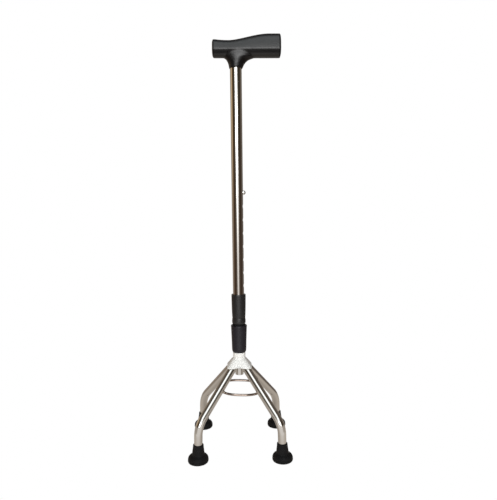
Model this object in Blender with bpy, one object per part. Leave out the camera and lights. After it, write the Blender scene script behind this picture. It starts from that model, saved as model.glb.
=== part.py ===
"""Quad walking cane: a telescopic steel cane on a base with four splayed legs.

Frame: metres, +Z up.  The origin is on the floor, at the centre of the four soles.
+X runs along the handle towards its long end, and +Y runs across the handle.
"""
import math

import bmesh
import bpy
from mathutils import Matrix, Vector

# ---------------------------------------------------------------- driving dimensions
GAP = 0.0003                 # clearance between two neighbouring solids

# Feet and legs
FOOT_X = 0.0784              # sole centre, sideways from the shaft axis
FOOT_Y = 0.0735              # sole centre, across the handle
KNEE_INSET = 0.0016          # the knee stands this much inboard of the sole centre
KNEE_Z = 0.0683
APEX_Z = 0.1760              # the four leg axes meet on the shaft axis here
LEG_R = 0.0078
LEG_WALL = 0.0013
LEG_BEND_R = 0.046
LEG_BOTTOM_Z = 0.0078
LEG_TOP_DROP = 0.0123        # how far below the apex a leg is cut square
LEG_SIDES = 16
LEG_BEND_STEPS = 6

# Rubber feet and the steel washers inside them
FOOT_SIDES = 24
SOLE_R = 0.0183
SKIRT_R = 0.0192
FOOT_NECK_R = 0.0119
FOOT_MOUTH_R = 0.0096
FOOT_TOP_Z = 0.0337
FOOT_FLOOR_Z = 0.0055
WASHER_T = 0.0016

# Brace ring welded between the legs, a little off centre and out of level
RING_HALF_SPAN = 0.0402      # to the middle of each flat side
RING_SQUARENESS = 2.6        # 2 is a circle, larger is squarer
RING_ROD_R = 0.0023
RING_X = 0.0020
RING_Z = 0.1148
RING_TILT = math.radians(2.5)

# Inner (lower) tube
INNER_R = 0.0080
INNER_BORE_R = 0.0068
INNER_BOTTOM_Z = 0.1425
INNER_TOP_Z = 0.5200
TUBE_SIDES = 32

# Outer (upper) tube with its row of height holes
OUTER_R = 0.0106
OUTER_BORE_R = 0.0094
OUTER_BOTTOM_Z = 0.2470
OUTER_TOP_Z = 0.7460
HOLE_R = 0.0040
HOLE_PITCH = 0.0250
HOLE_COUNT = 8
TOP_HOLE_Z = 0.4930

# Hub cover
HUB_CORNER_R = 0.0101        # around a leg axis
HUB_NECK_R = 0.0120
HUB_TOP_Z = 0.1876
HUB_NECK_LOW_Z = 0.1790
HUB_SKIRT_LEVELS = (0.1640, 0.1690, 0.1730, APEX_Z)
HUB_EDGE = 0.0006            # chamfer of the neck's top
HUB_BORE_DEPTH = 0.0400      # the leg bores are cut this far from the apex
HUB_RIM_Z = 0.1593
HUB_ARCH_RISE = 0.0022       # of the rim, midway between two legs
HUB_SIDES = 48

# Collar sleeve with its collet, and the lock nut around the collet
SLEEVE_TOP_Z = 0.3015
COLLET_R = 0.0109
COLLET_BOTTOM_Z = 0.2000
SLIT_WIDTH = 0.0013
SLIT_DEPTH = 0.0100
SLIT_TOP_Z = 0.2320
NUT_TOP_Z = 0.2415
NUT_BOTTOM_Z = 0.1879
NUT_BORE_R = COLLET_R + GAP

# Snap button and its leaf spring
BUTTON_R = 0.0037
BUTTON_TIP_X = 0.0155
BUTTON_FLANGE_R = 0.0045
BUTTON_FLANGE_X = 0.0046
BUTTON_FLANGE_T = 0.0010
LEAF_T = 0.0006
LEAF_WIDTH = 0.0045

# Handle
HANDLE_FRONT_X = -0.0420
HANDLE_REAR_X = 0.0810
HANDLE_UNDER_Z = 0.7307
HANDLE_FRONT_TOP_Z = 0.7617
HANDLE_SADDLE_TOP_Z = 0.7595
HANDLE_REAR_TOP_Z = 0.7706
HANDLE_SADDLE_X = -0.0120
HANDLE_CREST_X = 0.0600
HANDLE_EARLY_RISE = 0.85     # below 1 the upper outline climbs sooner behind the saddle
HANDLE_HALF_WIDTH = 0.0150
HANDLE_SQUARENESS = 2.5      # above the waist: 2 is an ellipse, larger is squarer
HANDLE_LOW_SQUARENESS = 3.6  # below the waist
HANDLE_WAIST_Z = 0.7418      # level at which the cross-section is widest
HANDLE_TUCK = 0.30           # how much narrower the underside is than the waist
HANDLE_LEAN = 0.10           # how much narrower the crest is than the waist
HANDLE_SIDES = 24
END_BULGE = 0.0028
NECK_BOTTOM_Z = 0.7115
NECK_R = 0.0119
CAP_T = 0.0036
CAP_SPIGOT_LENGTH = 0.0080
CAP_SPIGOT_SCALE = 0.62
SCREW_Z = 0.7215
SCREW_R = 0.0016
SCREW_HEAD_R = 0.0031
SCREW_HEAD_T = 0.0016
SCREW_SEAT_Y = 0.0119        # flat seat of the screw's head in the neck


# ---------------------------------------------------------------- shared helpers
def clear_scene():
    for item in list(bpy.data.objects):
        bpy.data.objects.remove(item, do_unlink=True)


def principled(name, colour, roughness, metallic=0.0):
    material = bpy.data.materials.new(name)
    material.use_nodes = True
    shader = material.node_tree.nodes["Principled BSDF"]
    shader.inputs["Base Color"].default_value = (*colour, 1.0)
    shader.inputs["Roughness"].default_value = roughness
    shader.inputs["Metallic"].default_value = metallic
    material.diffuse_color = (*colour, 1.0)
    return material


def add_object(name, bm, material, parent=None, location=(0.0, 0.0, 0.0)):
    """Turn a bmesh, modelled around its own origin, into a named object."""
    bmesh.ops.recalc_face_normals(bm, faces=bm.faces)
    mesh = bpy.data.meshes.new(name)
    bm.to_mesh(mesh)
    bm.free()
    mesh.shade_smooth()
    mesh.set_sharp_from_angle(angle=math.radians(35.0))
    obj = bpy.data.objects.new(name, mesh)
    bpy.context.scene.collection.objects.link(obj)
    if material is not None:
        mesh.materials.append(material)
    obj.parent = parent
    obj.location = location
    return obj


def add_guide(name, bm, parent=None, location=(0.0, 0.0, 0.0)):
    """A hidden solid that only cuts or joins another object."""
    guide = add_object(name, bm, None, parent, location)
    guide.hide_render = True
    guide.display_type = "WIRE"
    return guide


def add_axis(name, location, parent=None):
    """An empty that stands on a joint's axis."""
    empty = bpy.data.objects.new(name, None)
    empty.empty_display_size = 0.02
    bpy.context.scene.collection.objects.link(empty)
    empty.parent = parent
    empty.location = location
    return empty


def boolean(obj, guide, operation="DIFFERENCE"):
    modifier = obj.modifiers.new(operation.lower(), "BOOLEAN")
    modifier.operation = operation
    modifier.object = guide
    modifier.solver = "EXACT"


def bridge_rings(bm, rings, closed_path):
    """Skin neighbouring rings of vertices with quads."""
    count = len(rings[0])
    pairs = list(zip(rings, rings[1:]))
    if closed_path:
        pairs.append((rings[-1], rings[0]))
    for lower, upper in pairs:
        for i in range(count):
            j = (i + 1) % count
            bm.faces.new((lower[i], lower[j], upper[j], upper[i]))


def turned(profile, sides, bored):
    """Turn (radius, height) points around Z; a bored profile is a closed loop."""
    bm = bmesh.new()
    rings = []
    for radius, height in profile:
        ring = []
        for i in range(sides):
            angle = 2.0 * math.pi * i / sides
            ring.append(bm.verts.new((radius * math.cos(angle), radius * math.sin(angle), height)))
        rings.append(ring)
    bridge_rings(bm, rings, closed_path=bored)
    if not bored:
        bm.faces.new(rings[0])
        bm.faces.new(rings[-1])
    return bm


def aim(bm, direction, start):
    """Point a solid that was turned around Z along a direction, from a start point."""
    turn = Vector((0.0, 0.0, 1.0)).rotation_difference(Vector(direction).normalized())
    bmesh.ops.transform(bm, matrix=Matrix.Translation(start) @ turn.to_matrix().to_4x4(), verts=bm.verts)
    return bm


def rod(radius, start, end, sides):
    """A plain round bar between two points."""
    start = Vector(start)
    axis = Vector(end) - start
    return aim(turned([(radius, 0.0), (radius, axis.length)], sides, bored=False), axis, start)


def arc(centre, radius, first_deg, last_deg, steps):
    """Points of a circular arc in a (radius, height) profile."""
    points = []
    for i in range(steps + 1):
        angle = math.radians(first_deg + (last_deg - first_deg) * i / steps)
        points.append((centre[0] + radius * math.cos(angle), centre[1] + radius * math.sin(angle)))
    return points


# ---------------------------------------------------------------- legs, feet and ring
def leg_points(side_x, side_y):
    """Sole centre, knee and apex of one leg."""
    sole = Vector((side_x * FOOT_X, side_y * FOOT_Y, 0.0))
    knee = Vector((side_x * (FOOT_X - KNEE_INSET), side_y * (FOOT_Y - KNEE_INSET), KNEE_Z))
    apex = Vector((0.0, 0.0, APEX_Z))
    return sole, knee, apex


def leg_path(side_x, side_y):
    """Centre line of a leg: straight foot, round knee, straight upper run."""
    sole, knee, apex = leg_points(side_x, side_y)
    down = (sole - knee).normalized()
    up = (apex - knee).normalized()
    half_angle = 0.5 * down.angle(up)
    tangent = LEG_BEND_R / math.tan(half_angle)
    centre = knee + (down + up).normalized() * (LEG_BEND_R / math.sin(half_angle))
    start_spoke = knee + down * tangent - centre
    end_spoke = knee + up * tangent - centre
    points = [sole + (knee - sole) * (LEG_BOTTOM_Z / KNEE_Z)]
    for i in range(LEG_BEND_STEPS + 1):
        spoke = start_spoke.slerp(end_spoke, i / LEG_BEND_STEPS)
        points.append(centre + spoke.normalized() * LEG_BEND_R)
    points.append(apex - up * (LEG_TOP_DROP / up.z))
    return points


def tube_along(points, radius, bore, sides):
    """A hollow tube with square ends along a bent centre line in one plane."""
    plane = (points[1] - points[0]).cross(points[-1] - points[0]).normalized()
    outer = []
    inner = []
    bm = bmesh.new()
    for i, point in enumerate(points):
        before = points[max(i - 1, 0)]
        after = points[min(i + 1, len(points) - 1)]
        heading = (after - before).normalized()
        across = heading.cross(plane)
        for ring_list, ring_radius in ((outer, radius), (inner, bore)):
            ring = []
            for k in range(sides):
                angle = 2.0 * math.pi * k / sides
                spoke = plane * math.cos(angle) + across * math.sin(angle)
                ring.append(bm.verts.new(point + spoke * ring_radius))
            ring_list.append(ring)
    bridge_rings(bm, outer + inner[::-1], closed_path=True)
    return bm


def lean(bm, side_x, side_y):
    """Shear a turned foot piece so that it follows its leg, with the sole left flat."""
    slope = -KNEE_INSET / KNEE_Z
    shear = Matrix.Identity(4)
    shear[0][2] = side_x * slope
    shear[1][2] = side_y * slope
    bmesh.ops.transform(bm, matrix=shear, verts=bm.verts)
    return bm


def foot_profile():
    bore = LEG_R + GAP
    return [
        (SOLE_R, 0.0),
        (SKIRT_R, 0.0030),
        (SKIRT_R, 0.0065),
        (0.0178, 0.0100),
        (0.0144, 0.0130),
        (FOOT_NECK_R, 0.0152),
        (FOOT_MOUTH_R, FOOT_TOP_Z),
        (bore, FOOT_TOP_Z),
        (bore, FOOT_FLOOR_Z),
    ]


def make_foot(name, material, side_x, side_y):
    bm = lean(turned(foot_profile(), FOOT_SIDES, bored=False), side_x, side_y)
    return add_object(name, bm, material, location=(side_x * FOOT_X, side_y * FOOT_Y, 0.0))


def make_washer(name, material, side_x, side_y):
    low = FOOT_FLOOR_Z + GAP
    bm = turned([(LEG_R, low), (LEG_R, low + WASHER_T)], FOOT_SIDES, bored=False)
    lean(bm, side_x, side_y)
    return add_object(name, bm, material, location=(side_x * FOOT_X, side_y * FOOT_Y, 0.0))


def make_leg(name, material, side_x, side_y, shaft_guide):
    bm = tube_along(leg_path(side_x, side_y), LEG_R, LEG_R - LEG_WALL, LEG_SIDES)
    leg = add_object(name, bm, material)
    boolean(leg, shaft_guide)
    return leg


def make_brace_ring(material):
    """A rod bent into a rounded square whose corners reach the legs."""
    turns = 48
    sides = 8
    bm = bmesh.new()
    rings = []
    for i in range(turns):
        angle = 2.0 * math.pi * i / turns
        outward = Vector((math.cos(angle), math.sin(angle), 0.0))
        spread = abs(outward.x) ** RING_SQUARENESS + abs(outward.y) ** RING_SQUARENESS
        radius = RING_HALF_SPAN / spread ** (1.0 / RING_SQUARENESS)
        ring = []
        for k in range(sides):
            roll = 2.0 * math.pi * k / sides
            offset = outward * math.cos(roll) + Vector((0.0, 0.0, 1.0)) * math.sin(roll)
            ring.append(bm.verts.new(outward * radius + offset * RING_ROD_R))
        rings.append(ring)
    bridge_rings(bm, rings, closed_path=True)
    ring_object = add_object("brace_ring", bm, material, location=(RING_X, 0.0, RING_Z))
    ring_object.rotation_euler = (0.0, RING_TILT, 0.0)
    return ring_object


# ---------------------------------------------------------------- hub and inner tube
def hub_radius(theta, z):
    """Distance from the shaft axis to the outline drawn tightly around the four leg corners."""
    run = leg_points(1, 1)[1] - Vector((0.0, 0.0, APEX_Z))
    reach = (z - APEX_Z) / run.z
    azimuth = math.atan2(run.y, run.x)
    long_r = HUB_CORNER_R * run.length / abs(run.z)
    best = math.inf
    for step in range(-80, 81, 4):
        phi = theta + math.radians(step)
        support = -math.inf
        for side_x in (-1, 1):
            for side_y in (-1, 1):
                corner_azimuth = math.atan2(side_y * math.sin(azimuth), side_x * math.cos(azimuth))
                turn = phi - corner_azimuth
                centre = side_x * run.x * math.cos(phi) + side_y * run.y * math.sin(phi)
                bulge = math.hypot(long_r * math.cos(turn), HUB_CORNER_R * math.sin(turn))
                support = max(support, reach * centre + bulge)
        best = min(best, support / math.cos(phi - theta))
    return best


def make_hub_cover(material):
    """A round neck around the shaft that spreads into a square skirt around the four legs."""
    angles = [2.0 * math.pi * i / HUB_SIDES for i in range(HUB_SIDES)]
    rim = []
    for theta in angles:
        rim.append((hub_radius(theta, HUB_RIM_Z), HUB_RIM_Z + HUB_ARCH_RISE * math.cos(2.0 * theta) ** 4))
    levels = [rim]
    for z in HUB_SKIRT_LEVELS:
        levels.append([(hub_radius(theta, z), z) for theta in angles])
    levels.append([(HUB_NECK_R, HUB_NECK_LOW_Z)] * HUB_SIDES)
    levels.append([(HUB_NECK_R, HUB_TOP_Z - HUB_EDGE)] * HUB_SIDES)
    levels.append([(HUB_NECK_R - HUB_EDGE, HUB_TOP_Z)] * HUB_SIDES)
    bm = bmesh.new()
    rings = []
    for level in levels:
        ring = []
        for theta, (radius, z) in zip(angles, level):
            ring.append(bm.verts.new((radius * math.cos(theta), radius * math.sin(theta), z)))
        rings.append(ring)
    bridge_rings(bm, rings, closed_path=False)
    middle = bm.verts.new((0.0, 0.0, HUB_RIM_Z + HUB_ARCH_RISE))
    for i in range(HUB_SIDES):
        bm.faces.new((rings[0][i], rings[0][(i + 1) % HUB_SIDES], middle))
    bm.faces.new(rings[-1])
    hub = add_object("hub_cover", bm, material)
    apex = Vector((0.0, 0.0, APEX_Z))
    for side_x in (-1, 1):
        for side_y in (-1, 1):
            direction = (leg_points(side_x, side_y)[1] - apex).normalized()
            seat = LEG_TOP_DROP / abs(direction.z) - 2.0 * GAP
            bore = rod(LEG_R + GAP, apex + direction * seat, apex + direction * HUB_BORE_DEPTH, LEG_SIDES)
            boolean(hub, add_guide(f"hub_bore_{side_x}_{side_y}", bore))
    shaft = rod(INNER_R + GAP, (0.0, 0.0, 0.13), (0.0, 0.0, 0.20), TUBE_SIDES)
    boolean(hub, add_guide("hub_shaft_bore", shaft))
    return hub


def make_inner_tube(material):
    profile = [
        (INNER_R, INNER_TOP_Z),
        (INNER_R, INNER_BOTTOM_Z),
        (INNER_BORE_R, INNER_BOTTOM_Z),
        (INNER_BORE_R, INNER_TOP_Z),
    ]
    tube = add_object("inner_tube", turned(profile, TUBE_SIDES, bored=True), material)
    hole = rod(BUTTON_R + GAP, (0.003, 0.0, TOP_HOLE_Z), (0.012, 0.0, TOP_HOLE_Z), 16)
    boolean(tube, add_guide("button_hole", hole))
    return tube


def make_inner_tube_guide(material):
    """Nylon plug in the top of the inner tube; its flange runs inside the outer tube."""
    spigot_r = INNER_BORE_R - GAP
    flange_r = OUTER_BORE_R - GAP
    flange_low = INNER_TOP_Z + GAP
    profile = [
        (spigot_r, INNER_TOP_Z - 0.0100),
        (spigot_r, flange_low),
        (flange_r, flange_low),
        (flange_r, flange_low + 0.0040),
        (flange_r - 0.0012, flange_low + 0.0052),
    ]
    return add_object("inner_tube_guide", turned(profile, TUBE_SIDES, bored=False), material)


def make_inner_tube_plug(material):
    """Plastic plug pressed into the open bottom of the inner tube."""
    radius = INNER_BORE_R - GAP
    profile = [
        (radius - 0.0005, INNER_BOTTOM_Z - 0.0002),
        (radius, INNER_BOTTOM_Z + 0.0006),
        (radius, INNER_BOTTOM_Z + 0.0110),
    ]
    return add_object("inner_tube_plug", turned(profile, TUBE_SIDES, bored=False), material)


# ---------------------------------------------------------------- snap button
def make_snap_button(material):
    """Domed pin with a flange; it is turned around Z and then laid along +X."""
    dome_low = BUTTON_TIP_X - BUTTON_R
    profile = [
        (BUTTON_FLANGE_R, BUTTON_FLANGE_X - BUTTON_FLANGE_T),
        (BUTTON_FLANGE_R, BUTTON_FLANGE_X),
        (BUTTON_R, BUTTON_FLANGE_X),
    ]
    profile += arc((0.0, dome_low), BUTTON_R, 0.0, 75.0, 4)
    bm = aim(turned(profile, 16, bored=False), (1.0, 0.0, 0.0), (0.0, 0.0, 0.0))
    return add_object("snap_button", bm, material, location=(0.0, 0.0, TOP_HOLE_Z))


def make_button_spring(material):
    """V-shaped leaf inside the inner tube: one leg behind the button, one on the far wall."""
    front_x = BUTTON_FLANGE_X - BUTTON_FLANGE_T - GAP - LEAF_T / 2.0
    back_x = -(INNER_BORE_R - 0.0009) + LEAF_T / 2.0
    fold_z = -0.0300
    fold_r = 0.0015
    centre_line = [(front_x, 0.0040), (front_x, -0.0040)]
    fold_centre = (0.5 * (front_x + back_x), fold_z)
    for i in range(7):
        angle = math.pi * i / 6.0
        point_x = fold_centre[0] + fold_r * math.cos(angle)
        centre_line.append((point_x, fold_centre[1] - fold_r * math.sin(angle)))
    centre_line.append((back_x, -0.0060))
    centre_line.append((back_x, 0.0020))
    left = []
    right = []
    for i, (point_x, point_z) in enumerate(centre_line):
        before = centre_line[max(i - 1, 0)]
        after = centre_line[min(i + 1, len(centre_line) - 1)]
        run = Vector((after[0] - before[0], after[1] - before[1])).normalized()
        left.append((point_x - run.y * LEAF_T / 2.0, point_z + run.x * LEAF_T / 2.0))
        right.append((point_x + run.y * LEAF_T / 2.0, point_z - run.x * LEAF_T / 2.0))
    bm = bmesh.new()
    rings = []
    for near, far in zip(left, right):
        ring = []
        for (point_x, point_z), side in ((near, -1), (near, 1), (far, 1), (far, -1)):
            ring.append(bm.verts.new((point_x, side * LEAF_WIDTH / 2.0, point_z)))
        rings.append(ring)
    bridge_rings(bm, rings, closed_path=False)
    bm.faces.new(rings[0])
    bm.faces.new(rings[-1])
    return add_object("button_spring", bm, material, location=(0.0, 0.0, TOP_HOLE_Z))


# ---------------------------------------------------------------- outer tube, sleeve and nut
def make_upper_tube(material, slider):
    profile = [
        (OUTER_R, OUTER_TOP_Z),
        (OUTER_R, OUTER_BOTTOM_Z),
        (OUTER_BORE_R, OUTER_BOTTOM_Z),
        (OUTER_BORE_R, OUTER_TOP_Z),
    ]
    tube = add_object("upper_tube", turned(profile, TUBE_SIDES, bored=True), material, slider)
    for i in range(HOLE_COUNT):
        z = TOP_HOLE_Z - i * HOLE_PITCH
        hole = rod(HOLE_R, (0.006, 0.0, z), (0.014, 0.0, z), 16)
        boolean(tube, add_guide(f"height_hole_{i}", hole, slider))
    screw_hole = rod(SCREW_R + GAP, (0.0, 0.006, SCREW_Z), (0.0, 0.014, SCREW_Z), 12)
    boolean(tube, add_guide("tube_screw_hole", screw_hole, slider))
    return tube


def make_collar_sleeve(material, slider):
    """Plastic sleeve on the end of the outer tube; its slit lower end grips the inner tube."""
    tube_bore = OUTER_R + GAP
    collet_bore = INNER_R + GAP
    ledge_z = OUTER_BOTTOM_Z - GAP
    profile = [
        (tube_bore, SLEEVE_TOP_Z),
        (0.0137, SLEEVE_TOP_Z),
        (0.0138, 0.2985),
        (0.0133, 0.2730),
        (0.0127, 0.2590),
        (0.0124, 0.2560),
        (0.0128, 0.2530),
        (0.0131, 0.2490),
        (0.0127, 0.2450),
        (0.0114, 0.2436),
        (COLLET_R, 0.2400),
        (COLLET_R, COLLET_BOTTOM_Z + 0.0015),
        (COLLET_R - 0.0008, COLLET_BOTTOM_Z),
        (collet_bore, COLLET_BOTTOM_Z),
        (collet_bore, ledge_z),
        (tube_bore, ledge_z),
    ]
    sleeve = add_object("collar_sleeve", turned(profile, TUBE_SIDES, bored=True), material, slider)
    slit_low = COLLET_BOTTOM_Z - 0.005
    for i in range(4):
        angle = math.radians(45.0 + 90.0 * i)
        outward = Vector((math.cos(angle), math.sin(angle), 0.0))
        bm = bmesh.new()
        bmesh.ops.create_cube(bm, size=1.0)
        size = Matrix.Diagonal((SLIT_DEPTH, SLIT_WIDTH, SLIT_TOP_Z - slit_low, 1.0))
        bmesh.ops.transform(bm, matrix=size, verts=bm.verts)
        slit = add_guide(f"collet_slit_{i}", bm, slider)
        slit.location = outward * COLLET_R + Vector((0.0, 0.0, 0.5 * (SLIT_TOP_Z + slit_low)))
        slit.rotation_euler = (0.0, 0.0, angle)
        boolean(sleeve, slit)
    return sleeve


def make_lock_nut(material, axis):
    """Hand nut; its height is measured from the joint's empty at the nut's top."""
    profile = [
        (NUT_BORE_R, NUT_TOP_Z - 0.0030),
        (0.0128, NUT_TOP_Z),
        (0.0147, NUT_TOP_Z),
        (0.0155, NUT_TOP_Z - 0.0010),
        (0.0154, NUT_TOP_Z - 0.0040),
        (0.0147, 0.2235),
        (0.0142, 0.2080),
        (0.0139, 0.1945),
        (0.0134, 0.1900),
        (0.0123, NUT_BOTTOM_Z),
        (INNER_R + 2.0 * GAP, NUT_BOTTOM_Z),
        (INNER_R + 2.0 * GAP, COLLET_BOTTOM_Z - 0.0060),
        (NUT_BORE_R, COLLET_BOTTOM_Z - 0.0020),
    ]
    profile = [(radius, z - NUT_TOP_Z) for radius, z in profile]
    return add_object("lock_nut", turned(profile, TUBE_SIDES, bored=True), material, axis)


# ---------------------------------------------------------------- handle
def smooth_step(value):
    value = min(max(value, 0.0), 1.0)
    return value * value * (3.0 - 2.0 * value)


def handle_top(x):
    """Height of the handle's upper outline: a low saddle that rises to the rear crest."""
    if x < HANDLE_SADDLE_X:
        reach = (HANDLE_SADDLE_X - x) / (HANDLE_SADDLE_X - HANDLE_FRONT_X)
        return HANDLE_SADDLE_TOP_Z + (HANDLE_FRONT_TOP_Z - HANDLE_SADDLE_TOP_Z) * reach ** 2
    rise = smooth_step((x - HANDLE_SADDLE_X) / (HANDLE_CREST_X - HANDLE_SADDLE_X)) ** HANDLE_EARLY_RISE
    return HANDLE_SADDLE_TOP_Z + (HANDLE_REAR_TOP_Z - HANDLE_SADDLE_TOP_Z) * rise


def handle_half_width(x):
    """Slimmer at the front and at the waist above the neck than at the rear."""
    rise = smooth_step((x - HANDLE_FRONT_X) / (HANDLE_CREST_X - HANDLE_FRONT_X))
    return HANDLE_HALF_WIDTH * (0.92 + 0.08 * rise)


def handle_ring(bm, x, scale):
    """One cross-section of the grip: rounded above the waist, tucked in below it."""
    top = handle_top(x)
    middle = 0.5 * (top + HANDLE_UNDER_Z)
    ring = []
    for i in range(HANDLE_SIDES):
        angle = 2.0 * math.pi * i / HANDLE_SIDES
        c = math.cos(angle)
        s = math.sin(angle)
        power, end_z, taper = 2.0 / HANDLE_SQUARENESS, top, HANDLE_LEAN
        if s < 0.0:
            power, end_z, taper = 2.0 / HANDLE_LOW_SQUARENESS, HANDLE_UNDER_Z, HANDLE_TUCK
        share = abs(s) ** power
        y = handle_half_width(x) * math.copysign(abs(c) ** power, c) * (1.0 - taper * share)
        z = HANDLE_WAIST_Z + (end_z - HANDLE_WAIST_Z) * share
        ring.append(bm.verts.new((x, y * scale, middle + (z - middle) * scale)))
    return ring


def handle_loft(stations):
    """Skin cross-sections given as (x, scale) and close both ends."""
    bm = bmesh.new()
    rings = [handle_ring(bm, x, scale) for x, scale in stations]
    bridge_rings(bm, rings, closed_path=False)
    bm.faces.new(rings[0])
    bm.faces.new(rings[-1])
    return bm


def end_stations(x_rim, direction, steps):
    """Cross-sections of a softly bulged end, from its rim outwards."""
    stations = []
    for i in range(steps + 1):
        angle = math.radians(80.0) * i / steps
        x = x_rim + direction * END_BULGE * math.sin(angle)
        stations.append((x, 0.12 + 0.88 * math.cos(angle) ** 0.5))
    return stations


def neck_loft():
    """The stem under the grip: height, reach to the front and to the rear, and half width per level."""
    levels = (
        (NECK_BOTTOM_Z, NECK_R, NECK_R, NECK_R),
        (0.7165, 0.0126, 0.0138, 0.0124),
        (0.7215, 0.0140, 0.0170, 0.0129),
        (0.7255, 0.0161, 0.0212, 0.0133),
        (0.7285, 0.0188, 0.0272, 0.0136),
        (0.7311, 0.0230, 0.0354, 0.0138),
        (0.7360, 0.0250, 0.0370, 0.0139),
        (0.7430, 0.0260, 0.0380, 0.0136),
    )
    bm = bmesh.new()
    rings = []
    for z, front_reach, rear_reach, half_y in levels:
        centre_x = 0.5 * (rear_reach - front_reach)
        half_x = 0.5 * (rear_reach + front_reach)
        ring = []
        for i in range(HANDLE_SIDES):
            angle = 2.0 * math.pi * i / HANDLE_SIDES
            ring.append(bm.verts.new((centre_x + half_x * math.cos(angle), half_y * math.sin(angle), z)))
        rings.append(ring)
    bridge_rings(bm, rings, closed_path=False)
    bm.faces.new(rings[0])
    bm.faces.new(rings[-1])
    return bm


def make_handle_grip(material, slider):
    rear_rim_x = HANDLE_REAR_X - CAP_T
    front_rim_x = HANDLE_FRONT_X + END_BULGE
    stations = end_stations(front_rim_x, -1.0, 4)[::-1]
    body_steps = 14
    for i in range(1, body_steps + 1):
        stations.append((front_rim_x + (rear_rim_x - front_rim_x) * i / body_steps, 1.0))
    grip = add_object("handle_grip", handle_loft(stations), material, slider)
    boolean(grip, add_guide("handle_neck", neck_loft(), slider), "UNION")
    bore = rod(OUTER_R + GAP, (0.0, 0.0, 0.70), (0.0, 0.0, OUTER_TOP_Z + GAP), TUBE_SIDES)
    boolean(grip, add_guide("handle_bore", bore, slider))
    pocket = [
        (rear_rim_x - CAP_SPIGOT_LENGTH - GAP, CAP_SPIGOT_SCALE),
        (rear_rim_x + CAP_T, CAP_SPIGOT_SCALE),
    ]
    boolean(grip, add_guide("cap_pocket", handle_loft(pocket), slider))
    screw_hole = rod(SCREW_R + GAP, (0.0, 0.008, SCREW_Z), (0.0, 0.018, SCREW_Z), 12)
    boolean(grip, add_guide("grip_screw_hole", screw_hole, slider))
    head_seat = rod(SCREW_HEAD_R + GAP, (0.0, SCREW_SEAT_Y, SCREW_Z), (0.0, 0.018, SCREW_Z), 16)
    boolean(grip, add_guide("screw_head_seat", head_seat, slider))
    return grip


def make_handle_end_cap(material, slider):
    """Moulded cap that closes the rear end; its spigot sits in the grip's pocket."""
    rim_x = HANDLE_REAR_X - CAP_T + GAP
    spigot_scale = CAP_SPIGOT_SCALE - 2.0 * GAP / HANDLE_HALF_WIDTH
    stations = [
        (rim_x - CAP_SPIGOT_LENGTH, spigot_scale),
        (rim_x, spigot_scale),
        (rim_x + 0.00001, 1.0),
    ]
    stations += end_stations(HANDLE_REAR_X - END_BULGE, 1.0, 4)
    return add_object("handle_end_cap", handle_loft(stations), material, slider)


def make_handle_screw(material, slider):
    """Pan-head screw through the neck into the outer tube, at the back of the handle."""
    head_low = SCREW_SEAT_Y + GAP
    profile = [
        (SCREW_R, 0.0080),
        (SCREW_R, head_low),
        (SCREW_HEAD_R, head_low),
        (SCREW_HEAD_R, head_low + 0.5 * SCREW_HEAD_T),
        (0.6 * SCREW_HEAD_R, head_low + SCREW_HEAD_T),
    ]
    bm = aim(turned(profile, 16, bored=False), (0.0, 1.0, 0.0), (0.0, 0.0, SCREW_Z))
    return add_object("handle_screw", bm, material, slider)


# ---------------------------------------------------------------- assembly
def build():
    clear_scene()
    black_plastic = principled("handle_plastic", (0.020, 0.021, 0.022), 0.38)
    cap_plastic = principled("cap_plastic", (0.018, 0.019, 0.020), 0.40)
    collar_plastic = principled("collar_plastic", (0.017, 0.017, 0.018), 0.44)
    nut_plastic = principled("nut_plastic", (0.016, 0.015, 0.020), 0.44)
    steel_outer = principled("outer_tube_steel", (0.62, 0.60, 0.57), 0.12, 1.0)
    steel_inner = principled("inner_tube_steel", (0.64, 0.63, 0.61), 0.15, 1.0)
    steel_leg = principled("leg_steel", (0.64, 0.62, 0.59), 0.14, 1.0)
    steel_ring = principled("ring_steel", (0.60, 0.58, 0.55), 0.15, 1.0)
    hub_plastic = principled("hub_plastic", (0.80, 0.80, 0.78), 0.40)
    rubber = principled("foot_rubber", (0.012, 0.012, 0.013), 0.65)
    nylon = principled("guide_nylon", (0.75, 0.74, 0.70), 0.50)
    plug_plastic = principled("plug_plastic", (0.05, 0.05, 0.05), 0.55)
    button_steel = principled("button_steel", (0.70, 0.69, 0.66), 0.18, 1.0)
    spring_steel = principled("spring_steel", (0.35, 0.36, 0.38), 0.35, 1.0)
    washer_steel = principled("washer_steel", (0.55, 0.55, 0.55), 0.30, 1.0)
    screw_steel = principled("screw_steel", (0.50, 0.50, 0.50), 0.30, 1.0)

    make_inner_tube(steel_inner)
    make_inner_tube_guide(nylon)
    make_inner_tube_plug(plug_plastic)
    make_hub_cover(hub_plastic)
    make_brace_ring(steel_ring)
    cope = add_guide("leg_cope", rod(INNER_R + GAP, (0.0, 0.0, 0.12), (0.0, 0.0, 0.20), TUBE_SIDES))
    for end_name, side_y in (("front", -1), ("rear", 1)):
        for side_name, side_x in (("left", -1), ("right", 1)):
            place = f"{end_name}_{side_name}"
            make_leg(f"leg_{place}", steel_leg, side_x, side_y, cope)
            make_foot(f"foot_{place}", rubber, side_x, side_y)
            make_washer(f"foot_washer_{place}", washer_steel, side_x, side_y)

    make_snap_button(button_steel)
    make_button_spring(spring_steel)

    slider = add_axis("height_slide_axis", (0.0, 0.0, 0.0))
    nut_axis = add_axis("lock_nut_axis", (0.0, 0.0, NUT_TOP_Z), slider)
    make_upper_tube(steel_outer, slider)
    make_collar_sleeve(collar_plastic, slider)
    make_lock_nut(nut_plastic, nut_axis)
    make_handle_grip(black_plastic, slider)
    make_handle_end_cap(cap_plastic, slider)
    make_handle_screw(screw_steel, slider)


build()
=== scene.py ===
"""Looks of the quad walking cane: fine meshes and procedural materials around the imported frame."""
import math

import bmesh
import bpy
from mathutils import Matrix, Vector


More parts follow.
